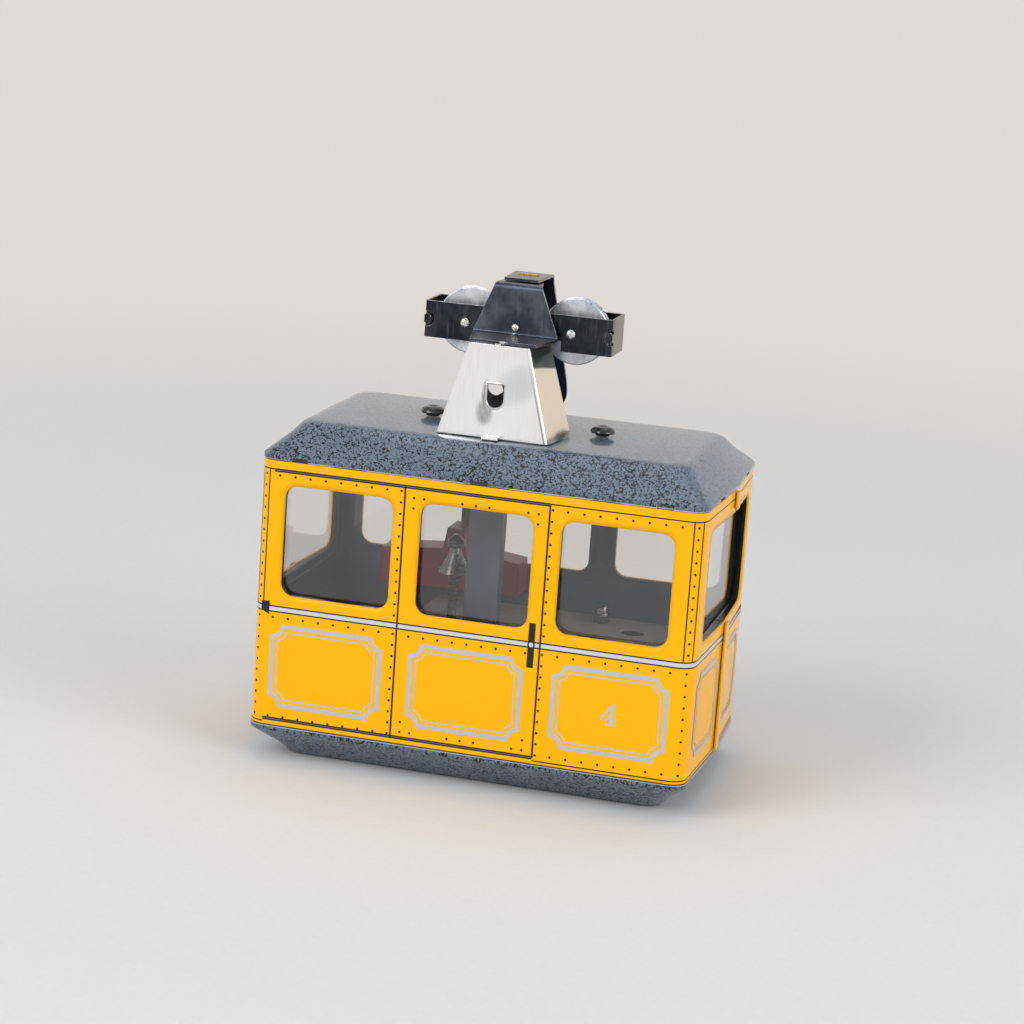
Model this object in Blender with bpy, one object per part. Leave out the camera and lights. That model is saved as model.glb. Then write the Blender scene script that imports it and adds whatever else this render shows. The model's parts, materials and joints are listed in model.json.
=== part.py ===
"""Tin toy cable car cabin with its hanger and rocking two-wheel carriage.

Lengths below are in millimetres and MM turns them into metres.
+X runs along the cabin, -Y is its front and +Z is up.
The origin lies under the middle of the flat tub that the toy stands on.
"""
import math

import bmesh
import bpy
from mathutils import Vector

MM = 0.001
GAP = 0.3

# Cabin shell
tin = 0.6
cabin_length = 110.0
cabin_depth = 64.4
corner_radius = 4.0
end_bulge = 1.1
tub_height = 9.0
wall_height = 66.2
roof_height = 8.7
arc_steps = 6

# Pressed pans, the roof and the tub
pan_overhang = 0.25
pan_skirt = 1.1
pan_slope_inset_x = 7.9
pan_slope_inset_y = 9.0
pan_shoulder = 1.5
pan_corner_radius = 5.0

# Slots at the roof's rim, where the wall's tabs are bent over
rim_slot_length = 4.2
rim_slot_height = 0.8
rim_slot_from_corner = 10.0
rim_slot_from_end_corner = 15.9

# Windows
window_sill = 33.3
window_head = 5.1
window_radius = 3.2
window_lip = 1.2
window_pillar = 6.8
door_window_half = 14.0
end_pillar = 10.9
end_lip_inset = 1.5
glass = 0.4
glass_lap = 2.5

# Straps over the joints of the end walls
strap_width = 3.2
strap_thickness = 0.5

# Inner floor and what stands on it
floor_above_tub = 21.6
floor_left = -25.5
floor_corner_cut = 5.0
floor_hole_radius = 3.4
floor_hole_from_end = 25.7
floor_hole_from_rear = 12.7
floor_slot_x = -5.2
floor_slot_from_rear = 10.2
floor_slot_length = 2.6
floor_slot_width = 0.9
column_width = 10.0
column_depth = 4.0
column_front = -19.0
rear_box_length = 37.0
rear_box_x = -20.5
rear_box_depth = 9.0
rear_box_below_sill = 6.0
rear_box_height = 10.5
rear_box_end_drop = 1.6
hump_half_foot = 4.2
hump_half_top = 3.0
hump_height = 6.4
post_x = -14.8
post_y = 5.0
post_height = 23.0
post_radius = 1.1
post_bead_radius = 2.2
post_bead_drop = 3.0
post_bead_height = 1.4
post_cone_radius = 4.2
post_cone_drop = 11.0
post_cone_rise = 6.0
nut_from_end = 35.2
nut_from_rear = 7.2
nut_flat_radius = 1.9
nut_height = 5.0

# Roof knobs
knob_x = 21.7
knob_radius = 3.1
knob_height = 2.3

# Tower between roof and hanger
tower_front = -20.0
tower_depth_foot = 15.0
tower_depth_top = 12.4
tower_x = -0.7
tower_flare = 1.9
tower_bend = 0.9
tower_half_foot = 13.45
tower_half_top = 7.65
tower_height = 22.7
tower_hole_half = 2.05
tower_hole_height = 5.8
tower_hole_above = 7.4
tower_tab_width = 4.0
tower_tab_reach = 2.2
tower_back_share = 0.75
tower_back_inset = 0.4
tower_back_hole_shift = -3.1
tower_back_hole_rise = 0.85

# Hanger, a front cheek on a shelf and a long back plate
hanger_tin = 0.7
cheek_y = -7.8
cheek_half_foot = 10.5
cheek_half_top = 6.3
cheek_rise = 13.2
cheek_bend = 1.6
cheek_foot_bend = 0.5
cheek_return = 4.5
cheek_return_half = 4.9
shelf_side = 0.55
back_y = 7.8
back_bend = 1.4
back_half_top = 4.7
back_half_waist = 8.6
back_foot_above_roof = 1.6
back_round = 8.5
back_straight = 14.0
back_flare = 10.8
top_plate_front = -6.0
top_slot_half_length = 2.6
top_slot_half_width = 0.9
brass_stand = 0.35

# Carriage
pivot_above_roof = 25.9
axle_drop = 0.6
frame_half_length = 23.7
frame_half_depth = 6.2
frame_height = 9.0
frame_middle_half = 11.0
frame_step = 2.6
frame_tin = 0.6
frame_bend = 0.8
notch_radius = 1.9
notch_inset = 0.6
hook_radius = 1.35
hook_inset = 0.35
axle_half_spacing = 13.3
axle_radius = 0.75
axle_head_radius = 1.2
rivet_radius = 0.5
rivet_head_radius = 0.95
head_height = 0.8
wheel_radius = 8.2
wheel_width = 2.9
wheel_land = 0.4
groove_radius = 6.2
wheel_hub_radius = 2.2
running_gap = 0.3
round_steps = 40

# Levels worked out from the sizes above
wall_low = tub_height + GAP
wall_high = wall_low + wall_height
roof_low = wall_high + GAP
roof_top = roof_low + roof_height
floor_top = wall_low + floor_above_tub
sill = wall_low + window_sill
window_top = wall_high - window_head
tower_low = roof_top + GAP
tower_top = tower_low + tower_height
shelf_low = tower_top + GAP
pivot_z = roof_top + pivot_above_roof
axle_z = pivot_z - axle_drop
cheek_high = shelf_low + cheek_rise
half_length = cabin_length / 2
half_depth = cabin_depth / 2
end_window_half = half_depth - end_pillar

COLOURS = {
    "yellow_litho": ((1.0, 0.48, 0.0), 0.25, 0.0),
    "grey_crackle": ((0.20, 0.24, 0.30), 0.3, 0.0),
    "tinplate": ((0.80, 0.81, 0.82), 0.3, 1.0),
    "blackened_steel": ((0.05, 0.055, 0.07), 0.45, 0.8),
    "zinc": ((0.62, 0.64, 0.66), 0.4, 1.0),
    "clear_sheet": ((0.85, 0.9, 0.9), 0.05, 0.0),
    "inner_paint": ((0.25, 0.32, 0.40), 0.5, 0.0),
    "floor_paint": ((0.55, 0.54, 0.50), 0.5, 0.0),
    "dark_red": ((0.20, 0.03, 0.03), 0.4, 0.0),
    "brass": ((0.75, 0.50, 0.14), 0.3, 1.0),
}


def clear_scene():
    for item in list(bpy.data.objects):
        bpy.data.objects.remove(item, do_unlink=True)


def material(name):
    found = bpy.data.materials.get(name)
    if found:
        return found
    colour, rough, metal = COLOURS[name]
    made = bpy.data.materials.new(name)
    made.use_nodes = True
    shader = made.node_tree.nodes["Principled BSDF"]
    shader.inputs["Base Color"].default_value = (*colour, 1.0)
    shader.inputs["Roughness"].default_value = rough
    shader.inputs["Metallic"].default_value = metal
    made.diffuse_color = (*colour, 1.0)
    return made


def make_object(name, bm, finish, place=(0, 0, 0), smooth=None, parent=None):
    """Turn a bmesh in millimetres into one object, its origin at place."""
    bmesh.ops.recalc_face_normals(bm, faces=bm.faces)
    for vertex in bm.verts:
        vertex.co = (vertex.co - Vector(place)) * MM
    mesh = bpy.data.meshes.new(name)
    bm.to_mesh(mesh)
    bm.free()
    mesh.materials.append(material(finish))
    if smooth is not None:
        mesh.shade_smooth()
        mesh.set_sharp_from_angle(angle=math.radians(smooth))
    made = bpy.data.objects.new(name, mesh)
    bpy.context.scene.collection.objects.link(made)
    made.location = Vector(place) * MM
    if parent:
        made.parent = parent
        made.location = (Vector(place) * MM) - parent.location
    return made


def loft(rings, bm=None):
    """Skin a row of rings that have equal counts, and cap both ends."""
    bm = bm or bmesh.new()
    made = [[bm.verts.new(point) for point in ring] for ring in rings]
    count = len(made[0])
    for low, high in zip(made, made[1:]):
        for i in range(count):
            j = (i + 1) % count
            bm.faces.new((low[i], low[j], high[j], high[i]))
    bm.faces.new(list(reversed(made[0])))
    bm.faces.new(made[-1])
    return bm


def prism(outline, low, high, axis="z"):
    """Extrude a closed outline of pairs between two levels of one axis."""
    def place(pair, level):
        if axis == "z":
            return (pair[0], pair[1], level)
        if axis == "y":
            return (pair[0], level, pair[1])
        return (level, pair[0], pair[1])
    return loft([[place(p, low) for p in outline], [place(p, high) for p in outline]])


def box(low, high):
    outline = [(low[0], low[1]), (high[0], low[1]), (high[0], high[1]), (low[0], high[1])]
    return prism(outline, low[2], high[2])


def arc(cx, cy, radius, start, end, steps):
    """Points on an arc, angles in degrees."""
    turn = [math.radians(start + (end - start) * i / steps) for i in range(steps + 1)]
    return [(cx + radius * math.cos(t), cy + radius * math.sin(t)) for t in turn]


def rounded_path(points, radius, steps=4):
    """Round the inner corners of an open path."""
    path = [points[0]]
    for before, corner, after in zip(points, points[1:], points[2:]):
        one = (Vector(before) - Vector(corner)).normalized()
        two = (Vector(after) - Vector(corner)).normalized()
        half = one.angle(two) / 2
        centre = Vector(corner) + (one + two).normalized() * (radius / math.sin(half))
        start = Vector(corner) + one * (radius / math.tan(half)) - centre
        end = Vector(corner) + two * (radius / math.tan(half)) - centre
        turn = start.angle_signed(end)
        for i in range(steps + 1):
            t = -turn * i / steps
            path.append((centre.x + start.x * math.cos(t) - start.y * math.sin(t),
                         centre.y + start.x * math.sin(t) + start.y * math.cos(t)))
    return path + [points[-1]]


def sheet(path, thickness):
    """Outline of bent sheet metal, laid to the left of an open path."""
    inner = []
    for i, point in enumerate(path):
        before = Vector(path[max(i - 1, 0)])
        after = Vector(path[min(i + 1, len(path) - 1)])
        here = Vector(point)
        sides = [(b - a).normalized() for a, b in ((before, here), (here, after)) if (b - a).length > 0]
        along = (sides[0] + sides[-1]).normalized()
        reach = thickness / max(along.dot(sides[0]), 0.2)
        inner.append((here.x - along.y * reach, here.y + along.x * reach))
    return path + list(reversed(inner))


def rounded_rectangle(low, high, radius, steps=arc_steps):
    x0, y0 = low
    x1, y1 = high
    points = arc(x1 - radius, y0 + radius, radius, -90, 0, steps)
    points += arc(x1 - radius, y1 - radius, radius, 0, 90, steps)
    points += arc(x0 + radius, y1 - radius, radius, 90, 180, steps)
    points += arc(x0 + radius, y0 + radius, radius, 180, 270, steps)
    return points


def lathe(profile, steps=round_steps, axis="z", centre=(0, 0, 0)):
    """Turn a profile of (radius, height) pairs, whose ends may lie on the axis."""
    bm = bmesh.new()
    rows = []
    for radius, height in profile:
        ring = []
        for i in range(steps if radius > 0 else 1):
            t = 2 * math.pi * i / steps
            a, b = radius * math.cos(t), radius * math.sin(t)
            point = (a, b, height) if axis == "z" else (a, height, b)
            ring.append(bm.verts.new(Vector(centre) + Vector(point)))
        rows.append(ring)
    closed = profile[0][0] > 0
    pairs = list(zip(rows, rows[1:]))
    if closed:
        pairs.append((rows[-1], rows[0]))
    for low, high in pairs:
        for i in range(steps):
            j = (i + 1) % steps
            if len(low) == 1:
                bm.faces.new((low[0], high[j], high[i]))
            elif len(high) == 1:
                bm.faces.new((low[i], low[j], high[0]))
            else:
                bm.faces.new((low[i], low[j], high[j], high[i]))
    return bm


def boolean(target, tool_bm, operation):
    """Cut or join one closed shape, and keep the result in the object's mesh."""
    tool = make_object(target.name + "_tool", tool_bm, "tinplate")
    modifier = target.modifiers.new("shape", "BOOLEAN")
    modifier.operation = operation
    modifier.solver = "EXACT"
    modifier.object = tool
    graph = bpy.context.evaluated_depsgraph_get()
    mesh = bpy.data.meshes.new_from_object(target.evaluated_get(graph))
    old = target.data
    target.modifiers.clear()
    target.data = mesh
    mesh.name = target.name
    bpy.data.meshes.remove(old)
    bpy.data.objects.remove(tool, do_unlink=True)


def end_x(y, inset=0.0):
    """Distance of the bulged end wall from the middle at a depth y."""
    return half_length - inset + end_bulge * (1 - abs(y) / half_depth)


def half_shell_outline(side):
    """Plan of the front (side -1) or rear (side 1) wall with its half end walls."""
    def path(inset):
        radius = corner_radius - inset
        cx = half_length - corner_radius
        cy = half_depth - corner_radius
        start = [(end_x(GAP / 2, inset), -GAP / 2)]
        right = arc(cx, -cy, radius, 0, -90, arc_steps)
        left = arc(-cx, -cy, radius, -90, -180, arc_steps)
        end = [(-end_x(GAP / 2, inset), -GAP / 2)]
        return start + right + left + end
    outline = path(0.0) + list(reversed(path(tin)))
    return [(x, -side * y) for x, y in outline]


def window_list():
    """Centre and half width of the windows in a long wall."""
    near = door_window_half + window_pillar
    far = half_length - window_pillar
    middle = (near + far) / 2
    half = (far - near) / 2
    return [(-middle, half), (0.0, door_window_half), (middle, half)]


def end_lip(end, side):
    """Half of the lip around an end window, from its flat edge into the bulged wall."""
    half = end_window_half + tin
    whole = rounded_rectangle((-half, sill - tin), (half, window_top + tin), window_radius + tin)
    start = [(GAP / 2, sill - tin)] + [p for p in whole if p[0] > 0] + [(GAP / 2, window_top + tin)]
    flat = [(end * (half_length - end_lip_inset), side * y, z) for y, z in start]
    wall = [(end * end_x(y, tin / 2), side * y, z) for y, z in start]
    return loft([flat, wall])


def build_walls():
    for name, side in (("wall_front", -1), ("wall_rear", 1)):
        wall = make_object(name, prism(half_shell_outline(side), wall_low, wall_high), "yellow_litho")
        face = side * half_depth
        inner = side * (half_depth - tin)
        deep = side * (half_depth - tin - window_lip)
        for centre, half in window_list():
            lip = rounded_rectangle((centre - half - tin, sill - tin),
                                    (centre + half + tin, window_top + tin), window_radius + tin)
            boolean(wall, prism(lip, min(deep, inner + side * tin / 2), max(deep, inner + side * tin / 2), "y"),
                    "UNION")
        for end in (-1, 1):
            boolean(wall, end_lip(end, side), "UNION")
        for centre, half in window_list():
            hole = rounded_rectangle((centre - half, sill), (centre + half, window_top), window_radius)
            boolean(wall, prism(hole, min(deep - side, face + side), max(deep - side, face + side), "y"),
                    "DIFFERENCE")
        hole = rounded_rectangle((-end_window_half, sill), (end_window_half, window_top), window_radius)
        for end in (-1, 1):
            reach = sorted((end * (half_length - 3), end * (half_length + 3)))
            boolean(wall, prism(hole, *reach, "x"), "DIFFERENCE")


def build_straps():
    """Narrow straps that cover the joint of the two shells on each end."""
    spans = (("upper", window_top + 0.4, wall_high - 0.4), ("lower", wall_low + 0.4, sill - 0.4))
    for end, side in (("left", -1), ("right", 1)):
        for place, low, high in spans:
            outer = end_x(0) + GAP + strap_thickness
            inner = end_x(0) + GAP
            edge = strap_width / 2
            outline = [(side * inner, -edge), (side * outer, -edge), (side * outer, edge),
                       (side * inner, edge)]
            make_object(f"seam_strap_{end}_{place}", prism(outline, low, high), "yellow_litho")


def pan_ring(inset_x, inset_y, radius, bulge, z):
    """One level of a pressed pan, a rounded rectangle with bulged ends."""
    hx = half_length - inset_x
    hy = half_depth - inset_y
    points = arc(hx - radius, -hy + radius, radius, -90, 0, arc_steps)
    points.append((hx + bulge, 0.0))
    points += arc(hx - radius, hy - radius, radius, 0, 90, arc_steps)
    points += arc(-hx + radius, hy - radius, radius, 90, 180, arc_steps)
    points.append((-hx - bulge, 0.0))
    points += arc(-hx + radius, -hy + radius, radius, 180, 270, arc_steps)
    return [(x, y, z) for x, y in points]


def pan_rings(low, height, sign):
    """Outer then inner levels of a pan whose open rim is at low."""
    ix, iy, r = pan_slope_inset_x, pan_slope_inset_y, pan_corner_radius
    s = pan_shoulder
    out = -pan_overhang
    rise = height - pan_skirt
    # inset x, inset y, radius, bulge, height over the rim
    outer = [
        (out, out, corner_radius - out, end_bulge, 0.0),
        (out, out, corner_radius - out, end_bulge, pan_skirt),
        (0.35, 0.35, corner_radius, end_bulge, pan_skirt + 0.6),
        (ix * 0.55, iy * 0.55, r, end_bulge * 0.6, pan_skirt + 0.57 * rise),
        (ix - s, iy - s, r, end_bulge * 0.2, height - 0.75),
        (ix - s * 0.3, iy - s * 0.3, r, end_bulge * 0.1, height - 0.2),
        (ix + s * 0.8, iy + s * 0.8, r, 0.0, height),
    ]
    inner = [(x + tin, y + tin, max(q - tin, 1.0), b, max(z - tin, 0.0)) for x, y, q, b, z in outer]
    inner[1] = inner[1][:4] + (pan_skirt,)
    levels = list(reversed(inner)) + outer
    return [pan_ring(x, y, q, b, low + sign * z) for x, y, q, b, z in levels]


def build_pans():
    roof = make_object("roof_pan", loft(pan_rings(roof_low, roof_height, 1)), "grey_crackle", smooth=35)
    half = rim_slot_length / 2
    low = roof_low - 1
    high = roof_low + rim_slot_height
    far_x = half_length - rim_slot_from_corner
    far_y = half_depth - rim_slot_from_end_corner
    for side in (-1, 1):
        ys = sorted((side * (half_depth - 2), side * (half_depth + 2)))
        for x in (-far_x, 0.0, far_x):
            boolean(roof, box((x - half, ys[0], low), (x + half, ys[1], high)), "DIFFERENCE")
        xs = sorted((side * (half_length - 2), side * (half_length + 3)))
        for y in (-far_y, far_y):
            boolean(roof, box((xs[0], y - half, low), (xs[1], y + half, high)), "DIFFERENCE")
    tub = pan_rings(tub_height, tub_height, -1)
    make_object("tub_pan", loft(tub), "grey_crackle", smooth=35)


def build_glazing():
    low = sill - glass_lap
    high = window_top + glass_lap
    for name, side in (("glazing_front", -1), ("glazing_rear", 1)):
        near = side * (half_depth - tin - window_lip - GAP)
        far = near - side * glass
        edge = half_length - corner_radius - 1.0
        make_object(name, box((-edge, min(near, far), low), (edge, max(near, far), high)), "clear_sheet")
    edge = end_window_half + glass_lap
    for name, side in (("glazing_left", -1), ("glazing_right", 1)):
        near = side * (half_length - end_lip_inset - GAP)
        far = near - side * glass
        make_object(name, box((min(near, far), -edge, low), (max(near, far), edge, high)), "clear_sheet")


def build_floor():
    right = half_length - tin - GAP
    edge = half_depth - tin - GAP
    cut = floor_corner_cut
    outline = [(floor_left, -edge), (right - cut, -edge), (right, -edge + cut), (right, edge - cut),
               (right - cut, edge), (floor_left, edge)]
    floor = make_object("inner_floor", prism(outline, floor_top - tin, floor_top), "floor_paint")
    hole = arc(half_length - floor_hole_from_end, half_depth - floor_hole_from_rear, floor_hole_radius, 0, 345, 23)
    boolean(floor, prism(hole, floor_top - 2, floor_top + 2), "DIFFERENCE")
    x = floor_slot_x
    y = half_depth - floor_slot_from_rear
    slot = box((x - floor_slot_length / 2, y - floor_slot_width / 2, floor_top - 2),
               (x + floor_slot_length / 2, y + floor_slot_width / 2, floor_top + 2))
    boolean(floor, slot, "DIFFERENCE")


def build_column():
    """A channel from the inner floor to the roof, open to the rear."""
    half = column_width / 2
    front = column_front
    back = column_front + column_depth
    outline = [(-half, back), (-half, front), (half, front), (half, back), (half - tin, back),
               (half - tin, front + tin), (-half + tin, front + tin), (-half + tin, back)]
    high = roof_top - tin - GAP
    make_object("centre_column", prism(outline, floor_top + GAP, high), "inner_paint")


def build_rear_box():
    """A dark red box at the rear wall, with a raised middle."""
    half = rear_box_length / 2
    low = sill - rear_box_below_sill
    mid = low + rear_box_height
    end = mid - rear_box_end_drop
    outline = [(-half, low), (half, low), (half, end), (hump_half_foot, mid),
               (hump_half_top, mid + hump_height), (-hump_half_top, mid + hump_height),
               (-hump_half_foot, mid), (-half, end)]
    outline = [(x + rear_box_x, z) for x, z in outline]
    back = half_depth - tin - window_lip - GAP - glass - GAP
    make_object("rear_box", prism(outline, back - rear_box_depth, back, "y"), "dark_red")


def build_post():
    """A turned post with a foot, a flared cone and a bead near its top."""
    r, h = post_radius, post_height
    cone = h - post_cone_drop
    bead = h - post_bead_drop
    # radius, height over the floor
    profile = [(0, 0), (r * 1.8, 0), (r * 1.8, 0.8), (r, 1.2), (r, cone),
               (post_cone_radius, cone + 1.2), (post_cone_radius * 0.95, cone + 1.7),
               (r * 1.45, cone + post_cone_rise), (r * 1.2, bead - 0.6), (post_bead_radius, bead),
               (post_bead_radius, bead + post_bead_height), (r * 1.1, bead + post_bead_height + 0.8),
               (r * 0.7, h - 0.1), (0, h)]
    bm = lathe(profile, 28, centre=(post_x, post_y, floor_top + GAP))
    make_object("turned_post", bm, "tinplate", smooth=40)


def build_nut():
    """An acorn nut, a hexagon below and a dome above."""
    steps = 24
    base = floor_top + GAP
    x = half_length - nut_from_end
    y = half_depth - nut_from_rear

    def ring(radius, z, hexagon):
        points = []
        for i in range(steps):
            t = 2 * math.pi * i / steps
            away = (t + math.pi / 6) % (math.pi / 3) - math.pi / 6
            r = radius / math.cos(away) if hexagon else radius
            points.append((x + r * math.cos(t), y + r * math.sin(t), base + z))
        return points
    h = nut_height
    flat = nut_flat_radius
    rings = [ring(flat, 0, True), ring(flat, 0.42 * h, True), ring(flat * 0.92, 0.5 * h, False),
             ring(flat * 0.88, 0.68 * h, False), ring(flat * 0.66, 0.86 * h, False),
             ring(flat * 0.3, 0.97 * h, False), ring(flat * 0.08, h, False)]
    make_object("acorn_nut", loft(rings), "tinplate", smooth=40)


def build_knobs():
    r, h = knob_radius, knob_height
    # radius, height over the roof
    profile = [(0, 0), (r * 0.55, 0), (r * 0.6, h * 0.18), (r * 0.95, h * 0.3), (r, h * 0.45),
               (r * 0.93, h * 0.68), (r * 0.72, h * 0.92), (r * 0.5, h), (r * 0.3, h * 0.93), (0, h * 0.74)]
    for name, x in (("roof_knob_left", -knob_x), ("roof_knob_right", knob_x)):
        bm = lathe(profile, 28, centre=(x, 0, roof_top + GAP))
        make_object(name, bm, "blackened_steel", smooth=50)


def d_outline(x, z):
    """Flat on top and round below, around a centre."""
    half = tower_hole_half
    high = z + tower_hole_height / 2
    low = z - tower_hole_height / 2 + half
    return [(x + half, high), (x - half, high)] + arc(x, low, half, 180, 360, 12)


def tower_half(z):
    """Half width of the tower's front at a level."""
    share = (z - tower_low) / tower_height
    return tower_half_foot + (tower_half_top - tower_half_foot) * share


def tower_rear(z):
    """Depth of the flanges' rear edge at a level."""
    share = (z - tower_low) / tower_height
    return tower_front + tower_depth_foot + (tower_depth_top - tower_depth_foot) * share


def flange_half(y, z):
    """Half width over the flared flanges at a depth and a level."""
    return tower_half(z) + tower_flare * (y - tower_front) / (tower_rear(z) - tower_front)


def build_tower():
    """A bright front plate whose two side flanges are bent back and flared."""
    def section(z):
        half = tower_half(z)
        wide = half + tower_flare
        rear = tower_rear(z)
        path = [(-wide, rear), (-half, tower_front), (half, tower_front), (wide, rear)]
        outline = sheet(rounded_path(path, tower_bend), tin)
        return [(x + tower_x, y, z) for x, y in outline]
    tower = make_object("tower_front", loft([section(tower_low), section(tower_top)]), "tinplate", smooth=35)
    middle = tower_low + tower_hole_above + tower_hole_height / 2
    hole = prism(d_outline(tower_x, middle), tower_front - 2, tower_front + 2, "y")
    boolean(tower, hole, "DIFFERENCE")
    half = tower_tab_width / 2
    tab = box((tower_x - half, tower_front - tower_tab_reach, tower_low),
              (tower_x + half, tower_front + tin / 2, tower_low + tin))
    boolean(tower, tab, "UNION")


def build_tower_back():
    """A plate between the flanges, with a second hole."""
    low = tower_low
    high = tower_low + tower_height * tower_back_share
    y = tower_rear(high) - tower_back_inset
    side = tin * 1.05 + GAP
    foot = flange_half(y - tin, low) - side
    top = flange_half(y - tin, high) - side
    outline = [(tower_x - foot, low), (tower_x + foot, low), (tower_x + top, high), (tower_x - top, high)]
    plate = make_object("tower_back", prism(outline, y - tin, y, "y"), "tinplate")
    middle = tower_low + tower_hole_above + tower_hole_height / 2 + tower_back_hole_rise
    hole = prism(d_outline(tower_x + tower_back_hole_shift, middle), y - 2, y + 2, "y")
    boolean(plate, hole, "DIFFERENCE")


def bent_strip(stations, thickness):
    """A strip of changing width along a bent path of (y, z, half width)."""
    rings = []
    for i, (y, z, half) in enumerate(stations):
        before = stations[max(i - 1, 0)]
        after = stations[min(i + 1, len(stations) - 1)]
        dy, dz = after[0] - before[0], after[1] - before[1]
        size = math.hypot(dy, dz)
        ny, nz = -dz / size * thickness, dy / size * thickness
        rings.append([(-half, y, z), (half, y, z), (half, y + ny, z + nz), (-half, y + ny, z + nz)])
    return loft(rings)


def bend(cy, cz, radius, start, end, steps, half_start, half_end):
    """Stations of a bend, turning from start to end degrees."""
    stations = []
    for i in range(steps + 1):
        t = math.radians(start + (end - start) * i / steps)
        half = half_start + (half_end - half_start) * i / steps
        stations.append((cy + radius * math.cos(t), cz + radius * math.sin(t), half))
    return stations


def hole_tool(x, z, radius, low, high, steps=20):
    return prism(arc(x, z, radius, 0, 360 - 360 / steps, steps - 1), low, high, "y")


def build_cheek():
    """A shelf over the tower, bent up into the front cheek and back under the top plate."""
    t = hanger_tin
    r = cheek_bend
    f = cheek_foot_bend
    end = cheek_return_half
    # y, z, half width of the shelf's upper face, then of the cheek's rear face
    stations = [(tower_front + 0.1, shelf_low + t, tower_half_top + shelf_side),
                (cheek_y - t - f, shelf_low + t, cheek_half_foot)]
    stations += bend(cheek_y - t - f, shelf_low + t + f, f, -60, 0, 2, cheek_half_foot, cheek_half_foot)
    stations += bend(cheek_y - t + r, cheek_high - r, r, 180, 90, 5, cheek_half_top, (cheek_half_top + end) / 2)
    stations.append((cheek_y + cheek_return, cheek_high, end))
    cheek = make_object("hanger_cheek", bent_strip(stations, -t), "blackened_steel", smooth=30)
    hole = hole_tool(0, pivot_z, rivet_radius + running_gap, cheek_y - 3, cheek_y + 3)
    boolean(cheek, hole, "DIFFERENCE")


def tongue_stations(top, foot):
    """The back plate below its bend, which widens, flares to the rear and ends round."""
    waist = foot + back_round
    start = top - back_straight

    def depth(z):
        return back_y + back_flare * (max(start - z, 0.0) / (start - foot)) ** 1.4
    stations = []
    for i in range(10):
        share = 1 - i / 10
        z = waist + (top - waist) * share
        stations.append((depth(z), z, back_half_waist - (back_half_waist - back_half_top) * share ** 1.5))
    for i in range(9):
        drop = math.sin(math.radians(10 * i))
        z = waist - back_round * drop
        stations.append((depth(z), z, back_half_waist * (1 - drop ** 3) ** (1 / 3)))
    return stations


def build_back():
    """The top plate, bent down into a long tongue behind the carriage."""
    low = cheek_high + GAP
    r = back_bend
    stations = [(top_plate_front, low, back_half_top - 0.4)]
    stations += bend(back_y - r, low - r, r, 90, 15, 4, back_half_top, back_half_top)
    stations += tongue_stations(low - r, roof_top + back_foot_above_roof)
    plate = make_object("hanger_back", bent_strip(stations, hanger_tin), "blackened_steel", smooth=30)
    hole = hole_tool(0, pivot_z, rivet_radius + running_gap, back_y - 3, back_y + 3)
    boolean(plate, hole, "DIFFERENCE")
    middle = (top_plate_front + back_y) / 2
    slot = box((-top_slot_half_length, middle - top_slot_half_width, low - 1),
               (top_slot_half_length, middle + top_slot_half_width, low + 2))
    boolean(plate, slot, "DIFFERENCE")
    tab = box((-top_slot_half_length + GAP, middle - top_slot_half_width + GAP, low - GAP - 1.2),
              (top_slot_half_length - GAP, middle + top_slot_half_width - GAP, low + hanger_tin + brass_stand))
    make_object("brass_tab", tab, "brass")


def build_carriage(pivot):
    """A front strip and a U around the wheels, whose ends hook into the strip's notches."""
    length, depth, t = frame_half_length, frame_half_depth, frame_tin
    low = axle_z - frame_height / 2
    high = axle_z + frame_height / 2
    seam = -depth + frame_bend + 0.1
    front_path = [(-length, seam), (-length, -depth), (length, -depth), (length, seam)]
    rear_path = [(length, seam + GAP), (length, depth), (-length, depth), (-length, seam + GAP)]
    made = []
    for name, path in (("carriage_front", front_path), ("carriage_rear", rear_path)):
        outline = sheet(rounded_path(path, frame_bend), t)
        strip = make_object(name, prism(outline, low, high), "blackened_steel", smooth=35, parent=pivot)
        made.append(strip)
    front, rear = made
    reach = frame_middle_half
    for strip, y in ((front, -depth), (rear, depth)):
        step = box((-reach, y - 1, low - 1), (reach, y + 1, low + frame_step))
        boolean(strip, step, "DIFFERENCE")
        for x, radius in ((-axle_half_spacing, axle_radius), (axle_half_spacing, axle_radius)):
            boolean(strip, hole_tool(x, axle_z, radius + GAP, y - 1, y + 1), "DIFFERENCE")
        boolean(strip, hole_tool(0, pivot_z, rivet_radius + running_gap, y - 1, y + 1), "DIFFERENCE")
    flap = -depth - 0.25
    for end in (-1, 1):
        notch = arc(end * (length - notch_inset), axle_z, notch_radius, 0, 345, 23)
        boolean(front, prism(notch, -depth - 1, seam + GAP / 2, "y"), "DIFFERENCE")
        xs = sorted((end * length, end * (length - t)))
        hook = box((xs[0], flap, axle_z - 1.0), (xs[1], seam + GAP + 0.5, axle_z + 1.0))
        boolean(rear, hook, "UNION")
        round_end = arc(end * (length - hook_inset), axle_z, hook_radius, 90, 90 + end * 180, 12)
        boolean(rear, prism(round_end, flap, flap + t, "y"), "UNION")


def headed_pin(name, x, z, low, high, radius, head, parent):
    """A straight pin along Y with a domed head in front and a riveted end behind."""
    h = head_height
    # radius, place along the pin
    profile = [(0, low - h), (head * 0.45, low - h * 0.94), (head * 0.8, low - h * 0.68),
               (head, low - h * 0.25), (head, low), (radius, low), (radius, high),
               (head * 0.9, high), (head * 0.8, high + h * 0.45), (head * 0.4, high + h * 0.7),
               (0, high + h * 0.75)]
    return make_object(name, lathe(profile, 24, "y", (x, 0, z)), "tinplate", (x, 0, z), 40, parent)


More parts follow.
